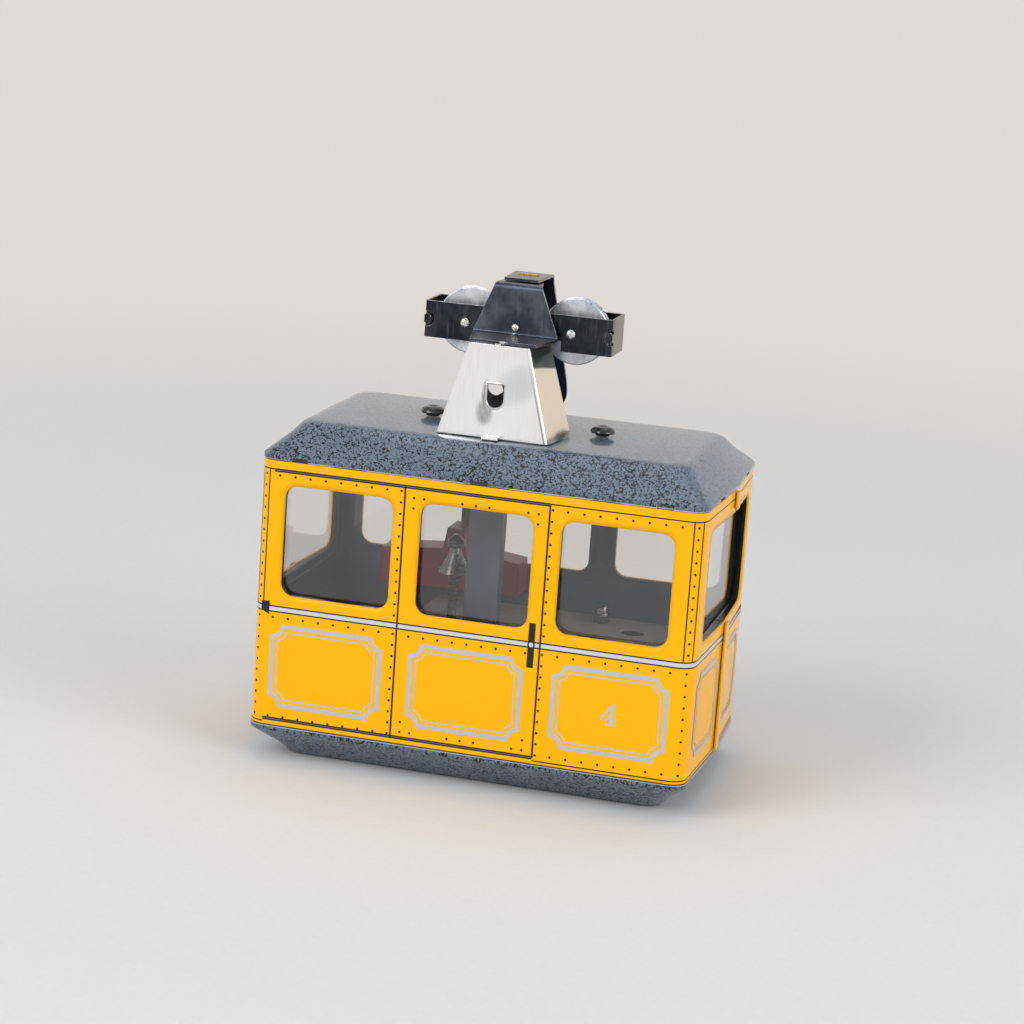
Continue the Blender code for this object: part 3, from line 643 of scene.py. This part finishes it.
def end_pane_move(x, y, z):
    """An end pane that reaches past the wider window."""
    return x, math.copysign(end_window_half + pane_overlap, y), z


def column_move(x, y, z):
    """A narrower column, a little further left."""
    return column_middle + x * column_wide, y, z


def rear_box_move(x, y, z):
    """A lower box with a narrower hump."""
    if abs(x - hump_x) < hump_half:
        x = hump_shown_x + (x - hump_x) * hump_wide
    return x, y, z - (hump_lowered if z > 50.0 else box_lowered)


def tower_move(x, y, z):
    """The tower a little wider and further left at its foot, and narrower at its top."""
    share = (z - tower_low) / tower_height
    middle = tower_middle_foot + tower_middle_rise * share
    return middle + (x - cad_tower_x) * (tower_wide_foot - tower_wide_fall * share), y, z


def refit_nodes(finishes):
    """The pieces that are shown as moved copies of their nodes."""
    for side in ("front", "rear"):
        refit(f"wall_{side}", f"cabin_wall_{side}", finishes["yellow_litho"], "cabin", wall_move)
    for side in ("left", "right"):
        refit(f"glazing_{side}", f"end_pane_{side}", finishes["clear_sheet"], "cabin", end_pane_move)
    for name in ("tower_front", "tower_back"):
        refit(name, f"{name}_fitted", finishes["tinplate"], "cabin", tower_move)
    refit("centre_column", "narrow_column", finishes["inner_paint"], "cabin", column_move)
    refit("rear_box", "low_rear_box", finishes["dark_red"], "cabin", rear_box_move)


def wall_point(s, z, lift, turn):
    """A place on the walls from its distance along them, its level and its lift."""
    cx = cabin_half_length - corner_radius
    cy = cabin_half_depth - corner_radius
    arc = corner_radius * math.pi / 2
    side = 1 if s >= 0 else -1
    far = abs(s)
    if far <= cx:
        x, y = far, -cabin_half_depth - lift
    elif far <= cx + arc:
        t = (far - cx) / corner_radius
        x = cx + (corner_radius + lift) * math.sin(t)
        y = -cy - (corner_radius + lift) * math.cos(t)
    else:
        y = -cy + far - cx - arc
        x = cabin_half_length + end_bulge * (1 - abs(y) / cabin_half_depth) + lift
    return Vector((side * x * turn, y * turn, z)) * MM


def print_piece(name, shapes, finish, level=0):
    """Printed shapes as thin ink on the front and rear walls, each of (s, z) loops."""
    cx = cabin_half_length - corner_radius
    arc = corner_radius * math.pi / 2
    cuts = [cx + arc * i / 6 for i in range(7)]
    cuts = [-c for c in reversed(cuts)] + cuts
    for turn, side in ((1, "front"), (-1, "rear")):
        bm = bmesh.new()
        for shape in shapes:
            loops = shape if isinstance(shape[0][0], tuple) else [shape]
            rows = [[bm.verts.new((s, 0.0, z)) for s, z in loop] for loop in loops]
            if len(rows) == 1:
                bm.faces.new(rows[0])
            else:
                outer, inner = rows
                for i in range(len(outer)):
                    j = (i + 1) % len(outer)
                    bm.faces.new((outer[i], outer[j], inner[j], inner[i]))
        for cut in cuts:
            everything = bm.verts[:] + bm.edges[:] + bm.faces[:]
            bmesh.ops.bisect_plane(bm, geom=everything, plane_co=(cut, 0, 0), plane_no=(1, 0, 0), dist=1e-5)
        grown = bmesh.ops.extrude_face_region(bm, geom=bm.faces[:])
        for vertex in grown["geom"]:
            if isinstance(vertex, bmesh.types.BMVert):
                vertex.co.y = 1.0
        for vertex in bm.verts:
            lift = ink * (level + 1.5) if vertex.co.y > 0.5 else ink * 0.3
            vertex.co = wall_point(vertex.co.x, vertex.co.z, lift, turn)
        bmesh.ops.recalc_face_normals(bm, faces=bm.faces)
        add_mesh(f"{name}_{side}", bm, finish, "cabin")


def link_object(name, data):
    made = bpy.data.objects.new(name, data)
    bpy.context.scene.collection.objects.link(made)
    return made


def add_mesh(name, bm, finish, body, smooth=None):
    """Turns a bmesh into a piece that rides on a body."""
    mesh = bpy.data.meshes.new(name)
    bm.to_mesh(mesh)
    bm.free()
    mesh.materials.append(finish)
    if smooth is not None:
        mesh.shade_smooth()
        mesh.set_sharp_from_angle(angle=math.radians(smooth))
    made = link_object(name, mesh)
    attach(made, body)


def bar(s0, s1, z0, z1):
    return [(s0, z0), (s1, z0), (s1, z1), (s0, z1)]


def disc(s, z, radius, steps=14):
    return [(s + radius * math.cos(2 * math.pi * i / steps), z + radius * math.sin(2 * math.pi * i / steps))
            for i in range(steps)]


def notched_outline(centre, half_width, half_height, inset, steps=6):
    """A rectangle whose corners are cut by arcs around its own outer corners."""
    points = []
    radius = panel_notch + inset
    for turn, (side, up) in enumerate(((1, 1), (-1, 1), (-1, -1), (1, -1))):
        cx = centre[0] + side * half_width
        cz = centre[1] + up * half_height
        start = 180 + 90 * turn
        low = math.degrees(math.asin(inset / radius))
        for i in range(steps + 1):
            t = math.radians(start + 90 - low - (90 - 2 * low) * i / steps)
            points.append((cx + radius * math.cos(t), cz + radius * math.sin(t)))
    return points


def panel_frames():
    """The double silver frames of the lower panels, on the sides and the ends."""
    spots = [(x, panel_half_width) for x in panel_centres]
    spots += [(side * end_panel_centre, end_panel_half_width) for side in (-1, 1)]
    shapes = []
    for x, half in spots:
        for inset, width in ((0.0, panel_band), (panel_line_inset, panel_line)):
            shapes.append([notched_outline((x, panel_z), half, panel_half_height, inset),
                           notched_outline((x, panel_z), half, panel_half_height, inset + width)])
    return shapes


def numeral_four():
    """A plain heavy figure four, from a diagonal, a stem, a bar and a foot."""
    left, stem, right, tip = 33.5, 35.8, 37.0, 37.55
    foot, base, bar_low, bar_high, top = 21.65, 22.1, 22.85, 23.3, 26.85
    slant = 36.25
    meet = bar_high + (stem - left) / (slant - left) * (top - bar_high)
    return [
        [(left, bar_high), (left + 0.65, bar_high), (stem, meet - 0.85), (stem, meet)],
        [(stem, bar_high), (right, bar_high), (right, top), (slant, top), (stem, meet)],
        [(left, bar_low), (tip, bar_low), (tip, bar_high), (left, bar_high)],
        [(stem, base), (right, base), (right, bar_low), (stem, bar_low)],
        [(stem - 0.7, foot), (right + 0.6, foot), (right + 0.6, foot + 0.2), (right, base), (stem, base),
         (stem - 0.7, foot + 0.2)],
    ]


def rivet_dots():
    """Printed rivets, in columns beside the lines and in rows along the panels."""
    spots = []
    for column in (*dot_columns_door, -dot_column_x, dot_column_x):
        for start, step, count in (upper_dots, lower_dots):
            spots += [(column, start - step * i) for i in range(count)]
    for z in row_levels:
        for start, step, count in (row_left, row_right):
            spots += [(start + step * i, z) for i in range(count)]
    spots += [(row_door[0] + row_door[1] * i, row_door_level) for i in range(row_door[2])]
    for z, inward in door_row_levels:
        spots += [(x, z) for x in door_row_dots]
        spots += [(x, z + inward * door_corner_step) for x in door_corner_dots]
    return [disc(s, z, dot_radius) for s, z in spots]


def print_walls():
    """All the print on the walls; a higher level lies over a lower one."""
    dark = printed_ink("print_dark", (0.010, 0.006, 0.003), (0.016, 0.010, 0.005), 0.25, 0.0)
    # Painted highlight: a pale line along the middle of each printed rail, for the sheen on it.
    rail_highlight_lines = [(z, 0.11, (0.16, 0.15, 0.13)) for z in (gutter_high, gutter_low)]
    rail = printed_ink("print_rail", (0.016, 0.015, 0.013), (0.035, 0.033, 0.030), 0.22, 0.0, rail_highlight_lines)
    silver = printed_ink("print_silver", (0.49, 0.50, 0.52), (0.56, 0.57, 0.59), 0.32, 0.1)
    white = printed_ink("print_stripe", (0.60, 0.61, 0.65), (0.65, 0.66, 0.70), 0.3, 0.05,
                        [(stripe_z, 0.12, (0.63, 0.63, 0.69))])
    line = thin_line / 2
    door = door_line_width / 2
    low = stripe_z - stripe_width / 2
    high = stripe_z + stripe_width / 2
    end = end_wall_end
    lines = [
        bar(door_line_right, end, band_high - line, band_high + line),
        bar(-end, gutter_start, band_high - line, band_high + line),
        bar(door_line_right, end, band_low - line, band_low + line),
        bar(-end, gutter_start, band_low - line, band_low + line),
        bar(-end, end, low - stripe_edge, low),
        bar(-end, end, high, high + stripe_edge),
    ]
    for s in (-strip_line_far, -strip_line_near, strip_line_near, strip_line_far):
        lines.append(bar(s - line, s + line, high + stripe_edge, band_high - line))
    print_piece("print_lines", lines, dark)
    rails = [bar(gutter_start, door_line_right, z - gutter_width / 2, z + gutter_width / 2)
             for z in (gutter_high, gutter_low)]
    print_piece("print_rails", rails, rail, 1)
    print_piece("print_stripe", [bar(-end, end, low, high)], white)
    doors = [bar(s - door, s + door, gutter_low, gutter_high) for s in (door_line_left, door_line_right)]
    print_piece("print_door_lines", doors, dark, 2)
    print_piece("print_frames", panel_frames(), silver)
    print_piece("print_numeral", numeral_four(), silver)
    print_piece("print_rivets", rivet_dots(), dark, 1)
    handle = [bar(handle_x - handle_half, handle_x + handle_half, handle_low, handle_high), left_hinge]
    print_piece("print_handle", handle, rail, 3)
    print_piece("print_handle_ring", [disc(handle_x, stripe_z, handle_ring, 24)], dark, 4)
    print_piece("print_handle_spot", [disc(handle_x, stripe_z, handle_spot, 24)], white, 5)


def rim_shade_tabs(finishes):
    """The wall's tabs behind the roof's rim slots, each rising from the wall and bent inwards. All but the
    front right one are black enamel, as painted shade behind the slots.
    """
    wall_high = roof_rim - 0.3
    path = [(out, wall_high + up) for out, up in rim_tab_path]
    half = rim_tab_half
    section = ((-half, 0), (half, 0), (half, rim_tab_thick), (-half, rim_tab_thick))
    face_y = cabin_half_depth - 0.4
    face_x = cabin_half_length + end_bulge * (1 - rim_slot_y / cabin_half_depth) - 0.4
    spots = [(0, side, x) for side in (-1, 1) for x in (-rim_slot_x, 0.0, rim_slot_x)]
    spots += [(1, side, y) for side in (-1, 1) for y in (-rim_slot_y, rim_slot_y)]
    for i, (on_end, side, middle) in enumerate(spots):
        bm = bmesh.new()
        rings = []
        for out, z in path:
            ring = []
            for along, deep in section:
                reach = side * ((face_x if on_end else face_y) + out - deep)
                level = z - deep if out < -0.2 else z
                spot = (reach, middle + along, level) if on_end else (middle + along, reach, level)
                ring.append(bm.verts.new(Vector(spot) * MM))
            rings.append(ring)
        for low, high in zip(rings, rings[1:]):
            for a in range(4):
                b = (a + 1) % 4
                bm.faces.new((low[a], low[b], high[b], high[a]))
        bm.faces.new(rings[0])
        bm.faces.new(rings[-1])
        bmesh.ops.recalc_face_normals(bm, faces=bm.faces)
        closed = (on_end, side, middle) == (0, -1, rim_slot_x)
        # Painted shade: black enamel on the tabs darkens the slots; the front right tab takes the roof's
        # crackle.
        finish = finishes["grey_crackle" if closed else "black_enamel"]
        add_mesh(f"rim_tab_{i + 1}", bm, finish, "cabin")


def hole_rim(finishes):
    """The bright burr around the tower's D-shaped hole."""
    low = tower_low + tower_hole_above
    high = low + tower_hole_height
    middle_x = tower_move(cad_tower_x, 0.0, (low + high) / 2)[0]
    half = tower_hole_half

    def outline(grow):
        points = [(middle_x + half + grow, high + grow), (middle_x - half - grow, high + grow)]
        return points + [(middle_x - (half + grow) * math.cos(math.pi * i / 14),
                          low + half - (half + grow) * math.sin(math.pi * i / 14)) for i in range(15)]
    bm = bmesh.new()
    rows = [[bm.verts.new(Vector((x, tower_front + out, z)) * MM) for x, z in outline(grow)]
            for grow, out in burr]
    count = len(rows[0])
    for one, two in zip(rows, rows[1:]):
        for i in range(count):
            j = (i + 1) % count
            bm.faces.new((one[i], one[j], two[j], two[i]))
    for i in range(count):
        j = (i + 1) % count
        bm.faces.new((rows[-1][i], rows[-1][j], rows[0][j], rows[0][i]))
    bmesh.ops.recalc_face_normals(bm, faces=bm.faces)
    add_mesh("tower_hole_rim", bm, finishes["bright_metal"], "cabin", 40)


def studio():
    """A pale round sweep, soft lamps and a pale sky above it."""
    g = Graph("sweep")
    speck = g.noise(500, 3, 0.7)
    g.set(Base_Color=g.mix(speck, (0.685, 0.685, 0.685), (0.735, 0.735, 0.735)), Roughness=0.9,
          Specular_IOR_Level=0.1)
    reach = g.math("SQRT", g.math("ADD", g.math("POWER", g.x, 2.0), g.math("POWER", g.y, 2.0)))
    far = g.math("MAXIMUM", g.fade(reach, 0.22, 0.75), g.fade(g.z, 0.0, 0.3))
    path = g.add("LightPath")
    seen = g.math("MAXIMUM", path.outputs["Is Camera Ray"],
                  g.math("MAXIMUM", path.outputs["Is Glossy Ray"], path.outputs["Is Transmission Ray"]))
    glow = g.add("Emission")
    g.feed(glow.inputs["Color"], g.mix(speck, (0.72, 0.69, 0.66), (0.74, 0.71, 0.68)))
    both = g.add("MixShader")
    g.feed(both.inputs[0], g.math("MULTIPLY", far, seen))
    g.feed(both.inputs[1], g.shader.outputs[0])
    g.feed(both.inputs[2], glow.outputs[0])
    g.feed(g.tree.nodes["Material Output"].inputs[0], both.outputs[0])
    flat, bend, tall, steps = 1.1, 0.5, 1.6, 96
    rows = [(0.02, 0.0), (0.3, 0.0), (flat, 0.0)]
    rows += [(flat + bend * math.sin(math.radians(t)), bend - bend * math.cos(math.radians(t)))
             for t in range(10, 91, 10)]
    rows.append((flat + bend, tall))
    bm = bmesh.new()
    centre = bm.verts.new((0, 0, 0))
    turns = [2 * math.pi * i / steps for i in range(steps)]
    rings = [[bm.verts.new((r * math.cos(turn), r * math.sin(turn), z)) for turn in turns] for r, z in rows]
    for i in range(steps):
        j = (i + 1) % steps
        bm.faces.new((centre, rings[0][i], rings[0][j]))
        for low, high in zip(rings, rings[1:]):
            bm.faces.new((low[i], high[i], high[j], low[j]))
    mesh = bpy.data.meshes.new("sweep")
    bm.to_mesh(mesh)
    bm.free()
    mesh.materials.append(g.material)
    mesh.shade_smooth()
    link_object("sweep", mesh)

    world = bpy.data.worlds.new("sky")
    bpy.context.scene.world = world
    world.use_nodes = True
    sky = world.node_tree.nodes["Background"]
    sky.inputs["Color"].default_value = (0.95, 0.95, 0.96, 1.0)
    sky.inputs["Strength"].default_value = 0.6
    # name, place, size, power
    lamps = (("key", (-0.75, -0.95, 0.85), 0.9, 9.5),
             ("fill", (1.15, -0.5, 0.6), 0.9, 7.0),
             ("top", (0.0, 0.25, 1.35), 1.0, 2.5))
    for name, place, size, power in lamps:
        lamp = bpy.data.lights.new(name, "AREA")
        lamp.shape = "DISK"
        lamp.size = size
        lamp.energy = power
        holder = link_object(name, lamp)
        holder.location = place
        aim = Vector((0, 0, 0.06)) - Vector(place)
        holder.rotation_euler = aim.to_track_quat("-Z", "Y").to_euler()
        holder.visible_camera = False


def camera():
    azimuth, elevation, roll = (math.radians(v) for v in (camera_azimuth, camera_elevation, camera_roll))
    back = Vector((math.sin(azimuth) * math.cos(elevation), -math.cos(azimuth) * math.cos(elevation),
                   math.sin(elevation)))
    right = (-back).cross(Vector((0, 0, 1))).normalized()
    up = right.cross(-back)
    across = right * math.cos(roll) + up * math.sin(roll)
    above = up * math.cos(roll) - right * math.sin(roll)
    data = bpy.data.cameras.new("camera")
    data.sensor_width = sensor_width
    data.lens = focal_pixels / frame_pixels * sensor_width
    data.clip_start = 0.01
    data.clip_end = 20.0
    holder = link_object("camera", data)
    turn = Matrix((across, above, back)).transposed().to_4x4()
    holder.matrix_world = Matrix.Translation((camera_target + back * camera_distance) * MM) @ turn
    bpy.context.scene.camera = holder


def main():
    camera()
    finishes = {
        "yellow_litho": yellow_litho(),
        "grey_crackle": grey_crackle(),
        "tinplate": tinplate(),
        "blackened_steel": blackened_steel("blackened_steel", (0.044, 0.053, 0.075), (0.105, 0.123, 0.163)),
        "dark_steel": blackened_steel("dark_steel", (0.022, 0.026, 0.034), (0.050, 0.057, 0.070)),
        "zinc": zinc(),
        "bright_metal": turned_metal("bright_metal", (0.60, 0.61, 0.62), (0.80, 0.80, 0.80)),
        # Painted shade: a darker copy of bright metal for the parts inside the cabin.
        "shaded_bright_metal": turned_metal("shaded_bright_metal", (0.11, 0.11, 0.115), (0.20, 0.20, 0.20)),
        "black_enamel": black_enamel(),
        "brass": brass(),
        "clear_sheet": clear_sheet(),
        "inner_paint": painted("inner_paint", (0.050, 0.066, 0.095), (0.080, 0.100, 0.135), 0.3),
        # Painted reflection: the floor's beige grey stands in for the pale backdrop that its bare tinplate
        # mirrors.
        "floor_paint": painted("floor_paint", (0.25, 0.235, 0.21), (0.33, 0.31, 0.28), 0.35),
        "dark_red": painted("dark_red", (0.17, 0.005, 0.020), (0.24, 0.010, 0.034), 0.3),
    }
    dress_nodes(finishes)
    refit_nodes(finishes)
    print_walls()
    rim_shade_tabs(finishes)
    hole_rim(finishes)
    studio()
    bpy.context.scene.view_settings.view_transform = "Standard"


main()
